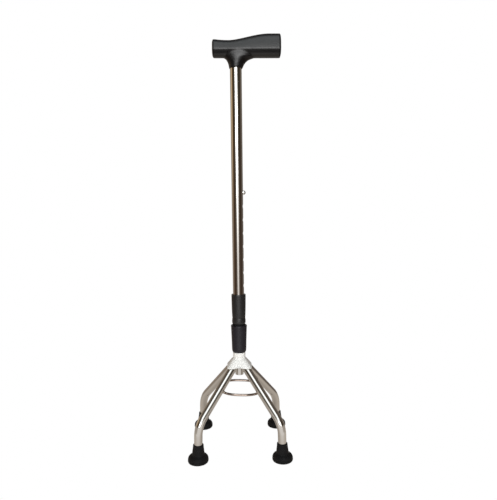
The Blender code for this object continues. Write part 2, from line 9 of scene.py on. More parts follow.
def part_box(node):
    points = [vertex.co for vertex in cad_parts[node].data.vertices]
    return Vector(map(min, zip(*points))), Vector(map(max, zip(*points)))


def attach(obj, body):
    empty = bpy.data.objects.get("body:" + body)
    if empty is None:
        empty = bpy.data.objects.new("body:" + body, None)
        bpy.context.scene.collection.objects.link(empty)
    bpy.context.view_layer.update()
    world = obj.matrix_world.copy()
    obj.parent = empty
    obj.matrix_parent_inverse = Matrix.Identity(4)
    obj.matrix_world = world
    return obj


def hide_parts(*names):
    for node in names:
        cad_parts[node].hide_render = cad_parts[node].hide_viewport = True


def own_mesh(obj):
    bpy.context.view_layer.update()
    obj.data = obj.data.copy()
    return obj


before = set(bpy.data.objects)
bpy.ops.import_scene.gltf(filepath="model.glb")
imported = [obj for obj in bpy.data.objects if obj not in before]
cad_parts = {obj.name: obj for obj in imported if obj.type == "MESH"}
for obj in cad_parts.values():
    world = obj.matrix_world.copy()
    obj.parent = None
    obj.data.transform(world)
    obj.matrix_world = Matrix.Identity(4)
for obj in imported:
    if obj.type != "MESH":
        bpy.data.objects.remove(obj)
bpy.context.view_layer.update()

# ---------------------------------------------------------------- sizes repeated from the design, in metres
PLACES = [("front_left", -1, -1), ("front_right", 1, -1), ("rear_left", -1, 1), ("rear_right", 1, 1)]
GAP = 0.0003
TUBE_SIDES = 96

FOOT_X = 0.0784
FOOT_Y = 0.0735
KNEE_INSET = 0.0016
KNEE_Z = 0.0683
APEX_Z = 0.1760
LEG_R = 0.0078
LEG_WALL = 0.0013
LEG_BEND_R = 0.046
LEG_BOTTOM_Z = 0.0078
LEG_TOP_DROP = 0.0123

RING_HALF_SPAN = 0.0402
RING_SQUARENESS = 2.6
RING_ROD_R = 0.0023
RING_X = 0.0020
RING_Z = 0.1148
RING_TILT = math.radians(2.5)

HUB_CORNER_R = 0.0101
HUB_NECK_R = 0.0120
HUB_TOP_Z = 0.1876
HUB_NECK_LOW_Z = 0.1790
HUB_SHOULDER_Z = 0.1725
HUB_WALL = 0.0016
HUB_RIM_Z = 0.1593
HUB_ARCH_RISE = 0.0022

INNER_R = 0.0080
INNER_BORE_R = 0.0068
OUTER_R = 0.0106
OUTER_BORE_R = 0.0094
HOLE_R = 0.0040
HOLE_PITCH = 0.0250
HOLE_COUNT = 8
TOP_HOLE_Z = 0.4930

HANDLE_FRONT_X = -0.0420
HANDLE_REAR_X = 0.0810
HANDLE_UNDER_Z = 0.7307
HANDLE_FRONT_TOP_Z = 0.7617
HANDLE_SADDLE_TOP_Z = 0.7595
HANDLE_REAR_TOP_Z = 0.7706
HANDLE_SADDLE_X = -0.0120
HANDLE_CREST_X = 0.0600
HANDLE_EARLY_RISE = 0.85
HANDLE_HALF_WIDTH = 0.0150
HANDLE_SQUARENESS = 2.5
HANDLE_LOW_SQUARENESS = 3.6
HANDLE_WAIST_Z = 0.7418
HANDLE_TUCK = 0.30
HANDLE_LEAN = 0.10
END_BULGE = 0.0028
NECK_BOTTOM_Z = 0.7115
NECK_R = 0.0119
CAP_T = 0.0036
SCREW_Z = 0.7215
SCREW_HOLE_R = 0.0019
SCREW_SEAT_Y = 0.0119


# ---------------------------------------------------------------- mesh helpers
def smooth_step(value):
    """0 below 0, 1 above 1, and a soft rise between them."""
    value = min(max(value, 0.0), 1.0)
    return value * value * (3.0 - 2.0 * value)


def add_piece(name, bm, smooth_deg=40.0):
    bmesh.ops.recalc_face_normals(bm, faces=bm.faces)
    mesh = bpy.data.meshes.new(name)
    bm.to_mesh(mesh)
    bm.free()
    mesh.shade_smooth()
    mesh.set_sharp_from_angle(angle=math.radians(smooth_deg))
    obj = bpy.data.objects.new(name, mesh)
    bpy.context.scene.collection.objects.link(obj)
    return obj


def weigh_normals(obj):
    """Let large faces keep their own normals, so that narrow rounded rims don't bend the light on them."""
    weighted = obj.modifiers.new("weighted", "WEIGHTED_NORMAL")
    weighted.keep_sharp = True
    apply_modifiers(obj)


def finish_piece(obj, body, slot, material, *nodes):
    """Give a piece its material and its body, and hide the CAD nodes that it stands for."""
    obj.data.materials.clear()
    obj.data.materials.append(material)
    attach(obj, body)
    if nodes:
        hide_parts(*nodes)
    return obj


def apply_modifiers(obj):
    """Bake the modifiers into the mesh, so that later steps see the final shape."""
    depsgraph = bpy.context.evaluated_depsgraph_get()
    mesh = bpy.data.meshes.new_from_object(obj.evaluated_get(depsgraph), depsgraph=depsgraph)
    old = obj.data
    obj.modifiers.clear()
    obj.data = mesh
    mesh.name = obj.name
    bpy.data.meshes.remove(old)


def cut(obj, cutters, operation="DIFFERENCE", smooth_deg=40.0):
    for cutter in cutters:
        modifier = obj.modifiers.new("cut", "BOOLEAN")
        modifier.operation = operation
        modifier.solver = "EXACT"
        modifier.object = cutter
    apply_modifiers(obj)
    for cutter in cutters:
        bpy.data.objects.remove(cutter, do_unlink=True)
    obj.data.shade_smooth()
    obj.data.set_sharp_from_angle(angle=math.radians(smooth_deg))


def bridge_rings(bm, rings, closed_path):
    count = len(rings[0])
    pairs = list(zip(rings, rings[1:]))
    if closed_path:
        pairs.append((rings[-1], rings[0]))
    for lower, upper in pairs:
        for i in range(count):
            j = (i + 1) % count
            bm.faces.new((lower[i], lower[j], upper[j], upper[i]))


def turned(profile, sides=TUBE_SIDES, bored=False):
    """Turn (radius, height) points around Z; a bored profile is a closed loop."""
    bm = bmesh.new()
    rings = []
    for radius, height in profile:
        ring = []
        for i in range(sides):
            angle = 2.0 * math.pi * i / sides
            ring.append(bm.verts.new((radius * math.cos(angle), radius * math.sin(angle), height)))
        rings.append(ring)
    bridge_rings(bm, rings, closed_path=bored)
    if not bored:
        bm.faces.new(rings[0])
        bm.faces.new(rings[-1])
    return bm


def rounded(points, radius, steps):
    """Round the corners of an open (radius, height) outline with small arcs."""
    result = [points[0]]
    for before, corner, after in zip(points, points[1:], points[2:]):
        corner_v = Vector(corner)
        to_before = Vector(before) - corner_v
        to_after = Vector(after) - corner_v
        reach = min(radius, 0.45 * to_before.length, 0.45 * to_after.length)
        first = corner_v + to_before.normalized() * reach
        last = corner_v + to_after.normalized() * reach
        for i in range(steps + 1):
            t = i / steps
            point = first.lerp(corner_v, t).lerp(corner_v.lerp(last, t), t)
            result.append((point.x, point.y))
    result.append(points[-1])
    return result


def rounded_loop(points, radius, steps):
    """Round every corner of a closed (radius, height) outline."""
    return rounded([points[-1], *points, points[0]], radius, steps)[1:-1]


def aim(bm, direction, start):
    turn = Vector((0.0, 0.0, 1.0)).rotation_difference(Vector(direction).normalized())
    bmesh.ops.transform(bm, matrix=Matrix.Translation(start) @ turn.to_matrix().to_4x4(), verts=bm.verts)
    return bm


def rod(radius, start, end, sides):
    start = Vector(start)
    axis = Vector(end) - start
    return aim(turned([(radius, 0.0), (radius, axis.length)], sides), axis, start)


def cutter(bm):
    return add_piece("cutter", bm)


def block_cutter(size, place):
    bm = bmesh.new()
    bmesh.ops.create_cube(bm, size=1.0)
    bmesh.ops.transform(bm, matrix=place @ Matrix.Diagonal((*size, 1.0)), verts=bm.verts)
    return cutter(bm)


def tube_along(points, radius, bore, sides):
    """A hollow tube along a centre line that bends in one plane, with flat, square-cut rims."""
    plane = (points[1] - points[0]).cross(points[-1] - points[0]).normalized()
    outer = []
    inner = []
    bm = bmesh.new()
    for i, point in enumerate(points):
        before = points[max(i - 1, 0)]
        after = points[min(i + 1, len(points) - 1)]
        across = (after - before).normalized().cross(plane)
        for ring_list, ring_radius in ((outer, radius), (inner, bore)):
            ring = []
            for k in range(sides):
                angle = 2.0 * math.pi * k / sides
                spoke = plane * math.cos(angle) + across * math.sin(angle)
                ring.append(bm.verts.new(point + spoke * ring_radius))
            ring_list.append(ring)
    bridge_rings(bm, outer + inner[::-1], closed_path=True)
    return bm


# ---------------------------------------------------------------- node helpers for materials
class Shader:
    """A Principled material and the few node patterns that its surfaces share."""

    def __init__(self, name, colour, roughness, metallic=0.0, specular=0.5):
        self.material = bpy.data.materials.new(name)
        self.material.use_nodes = True
        self.nodes = self.material.node_tree.nodes
        self.links = self.material.node_tree.links
        self.bsdf = self.nodes["Principled BSDF"]
        self.bsdf.inputs["Base Color"].default_value = (*colour, 1.0)
        self.bsdf.inputs["Roughness"].default_value = roughness
        self.bsdf.inputs["Metallic"].default_value = metallic
        self.bsdf.inputs["Specular IOR Level"].default_value = specular
        self.coordinates = self.nodes.new("ShaderNodeTexCoord").outputs["Object"]
        self.normal = None

    def stretched(self, scale):
        mapping = self.nodes.new("ShaderNodeMapping")
        mapping.inputs["Scale"].default_value = scale
        self.links.new(self.coordinates, mapping.inputs["Vector"])
        return mapping.outputs["Vector"]

    def noise(self, scale, detail, stretch=None):
        texture = self.nodes.new("ShaderNodeTexNoise")
        texture.inputs["Scale"].default_value = scale
        texture.inputs["Detail"].default_value = detail
        texture.inputs["Roughness"].default_value = 0.55
        vector = self.stretched(stretch) if stretch else self.coordinates
        self.links.new(vector, texture.inputs["Vector"])
        return texture.outputs["Fac"]

    def ramp(self, value, low, high):
        """Map a 0..1 pattern to a colour or grey between two values."""
        ramp = self.nodes.new("ShaderNodeValToRGB")
        ramp.color_ramp.elements[0].position = 0.3
        ramp.color_ramp.elements[1].position = 0.7
        ramp.color_ramp.elements[0].color = (*low, 1.0)
        ramp.color_ramp.elements[1].color = (*high, 1.0)
        self.links.new(value, ramp.inputs["Fac"])
        return ramp.outputs["Color"]

    def span(self, value, low, high):
        """Map a 0..1 pattern to numbers between low and high."""
        node = self.nodes.new("ShaderNodeMapRange")
        node.inputs["From Min"].default_value = 0.25
        node.inputs["From Max"].default_value = 0.75
        node.inputs["To Min"].default_value = low
        node.inputs["To Max"].default_value = high
        self.links.new(value, node.inputs["Value"])
        return node.outputs["Result"]

    def set(self, socket, output):
        self.links.new(output, self.bsdf.inputs[socket])

    def bump(self, height, strength, distance):
        node = self.nodes.new("ShaderNodeBump")
        node.inputs["Strength"].default_value = strength
        node.inputs["Distance"].default_value = distance
        self.links.new(height, node.inputs["Height"])
        if self.normal is not None:
            self.links.new(self.normal, node.inputs["Normal"])
        self.normal = node.outputs["Normal"]
        self.links.new(self.normal, self.bsdf.inputs["Normal"])


def polished_steel(name, colour, roughness, along=(1.0, 1.0, 0.04)):
    """Bright steel tube: faint drawing lines along it, soft handling haze and tiny scratches."""
    shader = Shader(name, colour, roughness, metallic=1.0)
    darker = tuple(0.90 * channel for channel in colour)
    shader.set("Base Color", shader.ramp(shader.noise(9.0, 4.0), darker, colour))
    shader.set("Roughness", shader.span(shader.noise(60.0, 5.0), 0.75 * roughness, 1.35 * roughness))
    shader.bump(shader.noise(900.0, 2.0, stretch=along), 0.06, 0.0001)
    shader.bump(shader.noise(14.0, 2.0), 0.05, 0.0006)
    return shader.material


def satin_plastic(name, colour, light, roughness, specular=0.5):
    """Moulded black plastic: spark-eroded grain, slight colour drift and shinier worn patches."""
    shader = Shader(name, colour, roughness, specular=specular)
    shader.set("Base Color", shader.ramp(shader.noise(38.0, 5.0), colour, light))
    shader.set("Roughness", shader.span(shader.noise(70.0, 4.0), roughness - 0.05, roughness + 0.06))
    shader.bump(shader.noise(2600.0, 2.0), 0.16, 0.00015)
    shader.bump(shader.noise(150.0, 2.0), 0.05, 0.0004)
    return shader.material


def white_plastic(name):
    shader = Shader(name, (0.80, 0.80, 0.775), 0.34, specular=0.5)
    shader.set("Base Color", shader.ramp(shader.noise(45.0, 4.0), (0.765, 0.765, 0.74), (0.83, 0.83, 0.81)))
    shader.set("Roughness", shader.span(shader.noise(110.0, 3.0), 0.28, 0.42))
    shader.bump(shader.noise(260.0, 2.0), 0.06, 0.0004)
    return shader.material


def foot_rubber(name):
    shader = Shader(name, (0.006, 0.006, 0.007), 0.60, specular=0.20)
    patches = shader.noise(90.0, 5.0)
    shader.set("Base Color", shader.ramp(patches, (0.004, 0.004, 0.005), (0.008, 0.008, 0.009)))
    shader.set("Roughness", shader.span(shader.noise(130.0, 4.0), 0.52, 0.70))
    shader.bump(shader.noise(1400.0, 3.0), 0.20, 0.0002)
    shader.bump(shader.noise(240.0, 2.0), 0.08, 0.0004)
    return shader.material


def plain_metal(name, colour, roughness):
    shader = Shader(name, colour, roughness, metallic=1.0)
    darker = tuple(0.8 * channel for channel in colour)
    shader.set("Base Color", shader.ramp(shader.noise(120.0, 4.0), darker, colour))
    shader.set("Roughness", shader.span(shader.noise(300.0, 3.0), 0.8 * roughness, 1.3 * roughness))
    shader.bump(shader.noise(1500.0, 2.0), 0.08, 0.0001)
    return shader.material


def plain_plastic(name, colour, roughness):
    shader = Shader(name, colour, roughness)
    darker = tuple(0.85 * channel for channel in colour)
    shader.set("Base Color", shader.ramp(shader.noise(80.0, 4.0), darker, colour))
    shader.bump(shader.noise(1200.0, 2.0), 0.10, 0.0002)
    return shader.material


# ---------------------------------------------------------------- legs, welds and feet
def leg_points(side_x, side_y):
    sole = Vector((side_x * FOOT_X, side_y * FOOT_Y, 0.0))
    knee = Vector((side_x * (FOOT_X - KNEE_INSET), side_y * (FOOT_Y - KNEE_INSET), KNEE_Z))
    return sole, knee, Vector((0.0, 0.0, APEX_Z))


def leg_path(side_x, side_y):
    """Centre line of a leg: straight foot, round knee, straight upper run."""
    sole, knee, apex = leg_points(side_x, side_y)
    down = (sole - knee).normalized()
    up = (apex - knee).normalized()
    half_angle = 0.5 * down.angle(up)
    tangent = LEG_BEND_R / math.tan(half_angle)
    centre = knee + (down + up).normalized() * (LEG_BEND_R / math.sin(half_angle))
    bend_steps = 24
    start_spoke = knee + down * tangent - centre
    end_spoke = knee + up * tangent - centre
    points = [sole + (knee - sole) * (LEG_BOTTOM_Z / KNEE_Z)]
    for i in range(bend_steps + 1):
        spoke = start_spoke.slerp(end_spoke, i / bend_steps)
        points.append(centre + spoke.normalized() * LEG_BEND_R)
    points.append(apex - up * (LEG_TOP_DROP / up.z))
    return points


def make_leg(place, side_x, side_y, material):
    bm = tube_along(leg_path(side_x, side_y), LEG_R, LEG_R - LEG_WALL, 48)
    leg = add_piece(f"leg_tube_{place}", bm)
    cope = cutter(rod(INNER_R + GAP, (0.0, 0.0, 0.12), (0.0, 0.0, 0.20), 48))
    cut(leg, [cope])
    weigh_normals(leg)
    return finish_piece(leg, "base", "leg_steel", material, f"leg_{place}")


def foot_profile():
    """Outer outline of a rubber tip: ribbed bell, rounded shoulder, tapered neck, then the bore."""
    bore = LEG_R + GAP
    outline = [
        (0.0150, 0.0000),
        (0.0183, 0.0006),
        (0.0192, 0.0026),
        (0.0192, 0.0048),
        (0.0186, 0.0052),
        (0.0186, 0.0058),
        (0.0191, 0.0062),
        (0.0188, 0.0082),
        (0.0178, 0.0104),
        (0.0162, 0.0122),
        (0.0143, 0.0134),
        (0.0124, 0.0146),
        (0.0116, 0.0162),
        (0.0106, 0.0250),
        (0.0104, 0.0255),
        (0.0098, 0.0325),
        (0.0096, 0.0337),
        (bore, 0.0337),
        (bore, 0.0055),
    ]
    return rounded(outline, 0.0007, 3)


def make_foot(place, side_x, side_y, material):
    bm = turned(foot_profile(), 72)
    slope = -KNEE_INSET / KNEE_Z
    shear = Matrix.Identity(4)
    shear[0][2] = side_x * slope
    shear[1][2] = side_y * slope
    bmesh.ops.transform(bm, matrix=shear, verts=bm.verts)
    bmesh.ops.translate(bm, vec=(side_x * FOOT_X, side_y * FOOT_Y, 0.0), verts=bm.verts)
    foot = add_piece(f"rubber_tip_{place}", bm, 50.0)
    grooves = []
    for radius in (0.0050, 0.0090, 0.0128):
        loop = [(radius - 0.0007, -0.0004), (radius + 0.0007, -0.0004)]
        loop += [(radius + 0.0005, 0.0010), (radius - 0.0005, 0.0010)]
        groove = turned(loop, 48, bored=True)
        bmesh.ops.translate(groove, vec=(side_x * FOOT_X, side_y * FOOT_Y, 0.0), verts=groove.verts)
        grooves.append(cutter(groove))
    cut(foot, grooves, smooth_deg=50.0)
    weigh_normals(foot)
    return finish_piece(foot, "base", "foot_rubber", material, f"foot_{place}")


def ring_point(angle):
    outward = Vector((math.cos(angle), math.sin(angle), 0.0))
    spread = abs(outward.x) ** RING_SQUARENESS + abs(outward.y) ** RING_SQUARENESS
    return outward * (RING_HALF_SPAN / spread ** (1.0 / RING_SQUARENESS))


def ring_matrix():
    return Matrix.Translation((RING_X, 0.0, RING_Z)) @ Matrix.Rotation(RING_TILT, 4, "Y")


def make_brace_ring(material):
    turns = 160
    sides = 20
    bm = bmesh.new()
    rings = []
    for i in range(turns):
        angle = 2.0 * math.pi * i / turns
        outward = Vector((math.cos(angle), math.sin(angle), 0.0))
        ring = []
        for k in range(sides):
            roll = 2.0 * math.pi * k / sides
            offset = outward * math.cos(roll) + Vector((0.0, 0.0, 1.0)) * math.sin(roll)
            ring.append(bm.verts.new(ring_point(angle) + offset * RING_ROD_R))
        rings.append(ring)
    bridge_rings(bm, rings, closed_path=True)
    bmesh.ops.transform(bm, matrix=ring_matrix(), verts=bm.verts)
    ring_piece = add_piece("brace_rod", bm, 60.0)
    return finish_piece(ring_piece, "base", "ring_steel", material, "brace_ring")


def make_ring_weld(place, side_x, side_y, material):
    """A small rippled fillet that bridges the ring and one leg."""
    knee = leg_points(side_x, side_y)[1]
    angle = math.atan2(knee.y, knee.x)
    on_ring = ring_matrix() @ ring_point(angle)
    apex = Vector((0.0, 0.0, APEX_Z))
    along = (knee - apex).normalized()
    on_axis = apex + along * (on_ring - apex).dot(along)
    inward = (on_ring - on_axis).normalized()
    on_leg = on_axis + inward * (LEG_R - 0.0004)
    centre = on_ring.lerp(on_leg, 0.5)
    tangent = inward.cross(along).normalized()
    half_length = 0.5 * (on_ring - on_leg).length + 0.0010
    bm = bmesh.new()
    bmesh.ops.create_icosphere(bm, subdivisions=4, radius=1.0)
    for vert in bm.verts:
        u, v, w = vert.co
        ripple = 1.0 + 0.07 * math.sin(11.0 * u + 2.0 * w) + 0.04 * math.sin(17.0 * w + 5.0 * v)
        swell = tangent * (u * 0.0046 * ripple) + along * (w * 0.0027 * ripple)
        vert.co = centre + swell + inward * (v * half_length)
    weld = add_piece(f"ring_weld_{place}", bm, 80.0)
    return finish_piece(weld, "base", "ring_steel", material)


# ---------------------------------------------------------------- hub and inner tube
def hub_radius(theta, z):
    """Distance from the shaft axis to the outline drawn tightly around the four leg corners."""
    run = leg_points(1, 1)[1] - Vector((0.0, 0.0, APEX_Z))
    reach = (z - APEX_Z) / run.z
    azimuth = math.atan2(run.y, run.x)
    long_r = HUB_CORNER_R * run.length / abs(run.z)
    best = math.inf
    for step in range(-80, 81, 2):
        phi = theta + math.radians(step)
        support = -math.inf
        for _, side_x, side_y in PLACES:
            corner_azimuth = math.atan2(side_y * math.sin(azimuth), side_x * math.cos(azimuth))
            turn = phi - corner_azimuth
            centre = side_x * run.x * math.cos(phi) + side_y * run.y * math.sin(phi)
            bulge = math.hypot(long_r * math.cos(turn), HUB_CORNER_R * math.sin(turn))
            support = max(support, reach * centre + bulge)
        best = min(best, support / math.cos(phi - theta))
    return best


def hub_ring(bm, z, inset=0.0, arched=0.0):
    sides = 96
    ring = []
    for i in range(sides):
        theta = 2.0 * math.pi * i / sides
        blend = smooth_step((z - HUB_SHOULDER_Z) / (HUB_NECK_LOW_Z - HUB_SHOULDER_Z))
        radius = (1.0 - blend) * hub_radius(theta, min(z, APEX_Z)) + blend * HUB_NECK_R - inset
        rise = arched * HUB_ARCH_RISE * math.cos(2.0 * theta) ** 4
        ring.append(bm.verts.new((radius * math.cos(theta), radius * math.sin(theta), z + rise)))
    return ring


def make_hub(material):
    """White moulding: round neck with a rounded top edge, square skirt with an arched rim, open underneath.
    """
    bm = bmesh.new()
    rings = []
    for lift, inset, arched in ((0.0002, 0.0007, 1.0), (0.0007, 0.0001, 1.0), (0.0022, 0.0, 0.6)):
        rings.append(hub_ring(bm, HUB_RIM_Z + lift, inset, arched))
    z = HUB_RIM_Z + 0.0040
    while z < HUB_NECK_LOW_Z:
        rings.append(hub_ring(bm, z))
        z += 0.0015
    rings.append(hub_ring(bm, HUB_NECK_LOW_Z))
    for drop, inset in ((0.0021, 0.0), (0.0006, 0.0), (0.0002, 0.0002), (0.0, 0.0006)):
        rings.append(hub_ring(bm, HUB_TOP_Z - drop, inset))
    inner_rings = []
    for lift, inset, arched in ((0.0002, 0.0007, 1.0), (0.0030, 0.0010, 0.5), (0.0048, 0.0040, 0.0)):
        inner_rings.append(hub_ring(bm, HUB_RIM_Z + lift, inset + HUB_WALL, arched))
    bridge_rings(bm, inner_rings[::-1] + rings, closed_path=False)
    bm.faces.new(inner_rings[-1])
    bm.faces.new(rings[-1])
    hub = add_piece("hub_moulding", bm, 45.0)
    apex = Vector((0.0, 0.0, APEX_Z))
    cutters = []
    for _, side_x, side_y in PLACES:
        direction = (leg_points(side_x, side_y)[1] - apex).normalized()
        seat = LEG_TOP_DROP / abs(direction.z) - 2.0 * GAP
        cutters.append(cutter(rod(LEG_R + GAP, apex + direction * seat, apex + direction * 0.0400, 48)))
    cutters.append(cutter(rod(INNER_R + GAP, (0.0, 0.0, 0.13), (0.0, 0.0, 0.20), TUBE_SIDES)))
    cut(hub, cutters, smooth_deg=45.0)
    return finish_piece(hub, "base", "hub_plastic", material, "hub_cover")


def make_inner_tube(material):
    low, high = (corner.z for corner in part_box("inner_tube"))
    loop = [(INNER_R, high), (INNER_R, low), (INNER_BORE_R, low), (INNER_BORE_R, high)]
    tube = add_piece("inner_shaft", turned(rounded_loop(loop, 0.0004, 3), bored=True))
    cut(tube, [cutter(rod(HOLE_R, (0.003, 0.0, TOP_HOLE_Z), (0.012, 0.0, TOP_HOLE_Z), 40))])
    weigh_normals(tube)
    return finish_piece(tube, "base", "inner_tube_steel", material, "inner_tube")


# ---------------------------------------------------------------- outer tube, sleeve, nut and button
def make_outer_tube(material):
    low, high = (corner.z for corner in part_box("upper_tube"))
    loop = [(OUTER_R, high), (OUTER_R, low), (OUTER_BORE_R, low), (OUTER_BORE_R, high)]
    tube = add_piece("outer_shaft", turned(rounded_loop(loop, 0.0003, 3), bored=True))
    cutters = []
    for i in range(HOLE_COUNT):
        z = TOP_HOLE_Z - i * HOLE_PITCH
        cutters.append(cutter(rod(HOLE_R, (0.006, 0.0, z), (0.014, 0.0, z), 40)))
    cutters.append(cutter(rod(SCREW_HOLE_R, (0.0, 0.006, SCREW_Z), (0.0, 0.014, SCREW_Z), 24)))
    cut(tube, cutters)
    weigh_normals(tube)
    return finish_piece(tube, "upper", "outer_tube_steel", material, "upper_tube")


def make_collar(material):
    low, high = (corner.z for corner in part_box("collar_sleeve"))
    bore = OUTER_R + GAP
    collet_bore = INNER_R + GAP
    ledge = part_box("upper_tube")[0].z - GAP
    loop = [
        (bore, high),
        (0.0136, high),
        (0.0137, high - 0.0040),
        (0.0133, 0.2730),
        (0.0130, 0.2640),
        (0.0127, 0.2590),
        (0.0124, 0.2572),
        (0.0124, 0.2556),
        (0.0128, 0.2538),
        (0.0131, 0.2500),
        (0.0131, 0.2478),
        (0.0127, 0.2450),
        (0.0114, 0.2436),
        (0.0109, 0.2420),
        (0.0109, low + 0.0015),
        (0.0101, low),
        (collet_bore, low),
        (collet_bore, ledge),
        (bore, ledge),
    ]
    collar = add_piece("collar_moulding", turned(rounded_loop(loop, 0.0005, 3), bored=True))
    slits = []
    for i in range(4):
        turn = Matrix.Rotation(math.radians(45.0 + 90.0 * i), 4, "Z")
        place = turn @ Matrix.Translation((0.0105, 0.0, low + 0.0135))
        slits.append(block_cutter((0.010, 0.0013, 0.037), place))
    cut(collar, slits)
    weigh_normals(collar)
    return finish_piece(collar, "upper", "collar_plastic", material, "collar_sleeve")


def make_nut(material):
    low, high = (corner.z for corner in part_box("lock_nut"))
    bore = 0.0112
    neck = INNER_R + 2.0 * GAP
    loop = [
        (bore, high - 0.0030),
        (0.0126, high - 0.0014),
        (0.0130, high - 0.0002),
        (0.0134, high),
        (0.0147, high),
        (0.0155, high - 0.0010),
        (0.01545, high - 0.0034),
        (0.01520, high - 0.0040),
        (0.01515, high - 0.0070),
        (0.0147, 0.2235),
        (0.0142, 0.2080),
        (0.0139, 0.1945),
        (0.0134, 0.1902),
        (0.0123, low),
        (neck, low),
        (neck, 0.1942),
        (bore, 0.1980),
    ]
    nut = add_piece("nut_moulding", turned(rounded_loop(loop, 0.0009, 4), bored=True))
    weigh_normals(nut)
    return finish_piece(nut, "lock_nut", "nut_plastic", material, "lock_nut")


def make_button(material):
    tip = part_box("snap_button")[1].x
    radius = 0.0037
    profile = [(0.0045, 0.0036), (0.0045, 0.0046), (radius, 0.0046), (radius, tip - 0.0030)]
    for i in range(1, 13):
        angle = math.radians(7.4 * i)
        profile.append((radius * math.cos(angle), tip - 0.0030 + 0.0030 * math.sin(angle)))
    bm = aim(turned(profile, 48), (1.0, 0.0, 0.0), (0.0, 0.0, TOP_HOLE_Z))
    button = add_piece("button_pin", bm, 35.0)
    weigh_normals(button)
    return finish_piece(button, "button", "button_steel", material, "snap_button")


def make_spring(material):
    """V-shaped leaf behind the button, built open and fixed to the base; the real leaf folds flat towards
    the far wall as the button goes in.
    """
    half_t = 0.0003
    half_w = 0.00225
    front_x = 0.0030
    back_x = -0.0056
    fold_x = 0.5 * (front_x + back_x)
    fold_z = -0.0300
    fold_r = 0.0015
    line = [(front_x, 0.0040), (front_x, -0.0040)]
    for i in range(13):
        angle = math.pi * i / 12.0
        line.append((fold_x + fold_r * math.cos(angle), fold_z - fold_r * math.sin(angle)))
    line += [(back_x, -0.0060), (back_x, 0.0020)]
    corners = ((half_t, half_w), (half_t, -half_w), (-half_t, -half_w), (-half_t, half_w))
    section = rounded_loop(corners, 0.0001, 2)
    bm = bmesh.new()
    rings = []
    for i, (x, z) in enumerate(line):
        before = Vector(line[max(i - 1, 0)])
        after = Vector(line[min(i + 1, len(line) - 1)])
        run = (after - before).normalized()
        ring = []
        for across, along_y in section:
            ring.append(bm.verts.new((x - run.y * across, along_y, TOP_HOLE_Z + z + run.x * across)))
        rings.append(ring)
    spring = add_piece("leaf_spring_strip", loft(rings, bm), 35.0)
    finish_piece(spring, "base", "spring_steel", material, "button_spring")
    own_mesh(spring)
    return spring


# ---------------------------------------------------------------- handle
def handle_top(x):
    if x < HANDLE_SADDLE_X:
        reach = (HANDLE_SADDLE_X - x) / (HANDLE_SADDLE_X - HANDLE_FRONT_X)
        return HANDLE_SADDLE_TOP_Z + (HANDLE_FRONT_TOP_Z - HANDLE_SADDLE_TOP_Z) * reach ** 2
    rise = smooth_step((x - HANDLE_SADDLE_X) / (HANDLE_CREST_X - HANDLE_SADDLE_X)) ** HANDLE_EARLY_RISE
    return HANDLE_SADDLE_TOP_Z + (HANDLE_REAR_TOP_Z - HANDLE_SADDLE_TOP_Z) * rise


def handle_half_width(x):
    rise = smooth_step((x - HANDLE_FRONT_X) / (HANDLE_CREST_X - HANDLE_FRONT_X))
    return HANDLE_HALF_WIDTH * (0.92 + 0.08 * rise)


def handle_ring(bm, x, scale, inset=0.0):
    """Cross-section of the grip: rounded above the waist, tucked in below it."""
    top = handle_top(x)
    middle = 0.5 * (top + HANDLE_UNDER_Z)
    ring = []
    for i in range(TUBE_SIDES):
        angle = 2.0 * math.pi * i / TUBE_SIDES
        c = math.cos(angle)
        s = math.sin(angle)
        power, end_z, taper = 2.0 / HANDLE_SQUARENESS, top, HANDLE_LEAN
        if s < 0.0:
            power, end_z, taper = 2.0 / HANDLE_LOW_SQUARENESS, HANDLE_UNDER_Z, HANDLE_TUCK
        share = abs(s) ** power
        y = handle_half_width(x) * math.copysign(abs(c) ** power, c) * (1.0 - taper * share)
        rise = HANDLE_WAIST_Z + (end_z - HANDLE_WAIST_Z) * share - middle
        ring.append(bm.verts.new((x, shrink(y, scale, inset), middle + shrink(rise, scale, inset))))
    return ring


def shrink(offset, scale, inset):
    """Scale an offset from the middle and move it inwards a little."""
    return math.copysign(max(abs(offset) * scale - inset, 0.0), offset)


def loft(rings, bm):
    bridge_rings(bm, rings, closed_path=False)
    bm.faces.new(rings[0])
    bm.faces.new(rings[-1])
    return bm


def end_rings(bm, x_rim, direction, steps=12):
    """Cross-sections of a softly bulged end, from its rim outwards."""
    rings = []
    for i in range(steps + 1):
        angle = math.radians(86.0) * i / steps
        x = x_rim + direction * END_BULGE * math.sin(angle)
        rings.append(handle_ring(bm, x, 0.04 + 0.96 * math.cos(angle) ** 0.5))
    return rings


def neck_bm():
    """The stem under the grip, flared into it with a small front and a large rear fillet."""
    levels = (
        (NECK_BOTTOM_Z, NECK_R, NECK_R, NECK_R),
        (0.7140, 0.0122, 0.0127, 0.0122),
        (0.7165, 0.0126, 0.0138, 0.0124),
        (0.7190, 0.0132, 0.0153, 0.0127),
        (0.7215, 0.0140, 0.0170, 0.0129),
        (0.7235, 0.0149, 0.0189, 0.0131),
        (0.7255, 0.0161, 0.0212, 0.0133),
        (0.7272, 0.0174, 0.0240, 0.0135),
        (0.7285, 0.0188, 0.0272, 0.0136),
        (0.7298, 0.0206, 0.0310, 0.0137),
        (0.7311, 0.0230, 0.0354, 0.0138),
        (0.7360, 0.0250, 0.0370, 0.0139),
        (0.7430, 0.0260, 0.0380, 0.0136),
    )
    sides = 96
    bm = bmesh.new()
    rings = []
    for z, reach_front, reach_rear, half_y in levels:
        ring = []
        centre_x = 0.5 * (reach_rear - reach_front)
        half_x = 0.5 * (reach_rear + reach_front)
        for i in range(sides):
            angle = 2.0 * math.pi * i / sides
            ring.append(bm.verts.new((centre_x + half_x * math.cos(angle), half_y * math.sin(angle), z)))
        rings.append(ring)
    return loft(rings, bm)


